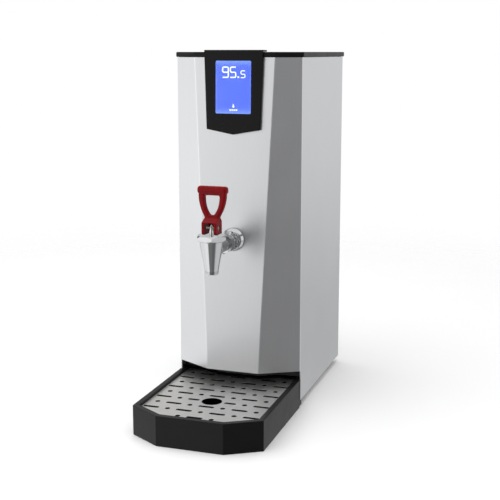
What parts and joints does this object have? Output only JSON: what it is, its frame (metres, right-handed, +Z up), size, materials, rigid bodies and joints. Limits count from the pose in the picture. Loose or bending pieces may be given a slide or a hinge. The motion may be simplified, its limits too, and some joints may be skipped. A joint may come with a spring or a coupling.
{
  "type": "counter-top water boiler",
  "caption": "Counter-top automatic water boiler with a faceted steel casing, lever tap, blue display panel and a lift-out drip tray with a slotted grid.",
  "frame": {"origin": "on the counter, at the middle of the plan's bounding box", "axes": "+Z up, the tap and the drip tray face -Y, +X is on the right of someone facing the front"},
  "size_m": [0.2136, 0.5134, 0.5784],
  "materials": {
    "satin_steel": "satin brushed stainless sheet",
    "plain_steel": "mill finish stainless",
    "zinc_steel": "bright zinc plate",
    "chrome": "polished chrome plate on brass",
    "brass": "machined",
    "black_plastic": "fine grained black moulding",
    "tray_plastic": "semi-gloss charcoal moulding",
    "bezel_plastic": "smooth satin-gloss black",
    "red_plastic": "glossy dark red moulding",
    "white_plastic": "natural white nylon",
    "grey_plastic": "grey moulding",
    "black_rubber": "matte rubber",
    "silicone": "translucent white silicone",
    "display_window": "clear window",
    "display_glass": "blue back-lit display",
    "circuit_board": "green solder mask",
    "insulation": "grey fibre felt"
  },
  "bodies": {
    "body": {"outer_casing": "satin_steel", "back_panel": "satin_steel", "lid": "black_plastic", "base_tray": "plain_steel", "plinth": "black_plastic", "foot_front_left": "black_rubber", "foot_front_right": "black_rubber", "foot_rear_left": "black_rubber", "foot_rear_right": "black_rubber", "foot_screw_front_left": "zinc_steel", "foot_screw_front_right": "zinc_steel", "foot_screw_rear_left": "zinc_steel", "foot_screw_rear_right": "zinc_steel", "bezel": "bezel_plastic", "display_window": "display_window", "display_glass": "display_glass", "display_frame": "white_plastic", "display_board": "circuit_board", "tap_flange": "chrome", "tap_lock_nut": "chrome", "tap_body": "chrome", "tap_bonnet": "chrome", "tap_washer": "silicone", "tap_back_nut": "brass", "stem_spring": "plain_steel", "tank": "plain_steel", "tank_seal": "silicone", "tank_lid": "plain_steel", "insulation_jacket": "insulation", "tank_stand": "zinc_steel", "heating_element": "brass", "temperature_probe": "plain_steel", "level_probe_holder": "white_plastic", "level_probe_low": "plain_steel", "level_probe_middle": "plain_steel", "level_probe_high": "plain_steel", "overheat_cutout": "black_plastic", "fill_valve": "white_plastic", "inlet_nut": "brass", "valve_coil": "grey_plastic", "fill_hose": "silicone", "overflow_pipe": "silicone", "overflow_grommet": "black_rubber", "cable_gland": "black_plastic", "gland_nut": "black_plastic", "terminal_block": "white_plastic", "switch_frame": "black_plastic", "board_bracket": "zinc_steel", "relay_board": "circuit_board", "relay": "white_plastic", "transformer": "grey_plastic", "board_connector": "white_plastic"},
    "stem": {"valve_stem": "plain_steel", "seal_cup": "silicone", "pivot_pin": "plain_steel"},
    "handle": {"tap_handle": "red_plastic"},
    "tray": {"drip_tray": "tray_plastic"},
    "grid": {"drip_grid": "satin_steel"},
    "rocker": {"switch_rocker": "black_plastic"}
  },
  "joints": [
    {"name": "stem_lift", "type": "slide", "parent": "body", "child": "stem", "axis": [0, 0, 1], "range_m": [0, 0.00275], "stiffness_N_per_m": 1500, "springref_m": -0.004, "deforming": ["stem_spring"]},
    {"name": "handle_tilt", "type": "hinge", "parent": "stem", "child": "handle", "pos_m": [0, -0.15875, 0.3146], "axis": [1, 0, 0], "range_deg": [0, 35]},
    {"name": "tray_slide", "type": "slide", "parent": "body", "child": "tray", "axis": [0, -1, 0], "range_m": [0, 0.06]},
    {"name": "grid_lift", "type": "slide", "parent": "tray", "child": "grid", "axis": [0, 0, 1], "range_m": [0, 0.0145]},
    {"name": "switch_tilt", "type": "hinge", "parent": "body", "child": "rocker", "pos_m": [0.004, 0.23505, 0.112], "axis": [-1, 0, 0], "range_deg": [0, 16]}
  ],
  "couplings": [
    {"joint": "handle_tilt", "follows": "stem_lift", "rad_per_m": 222.2}
  ]
}
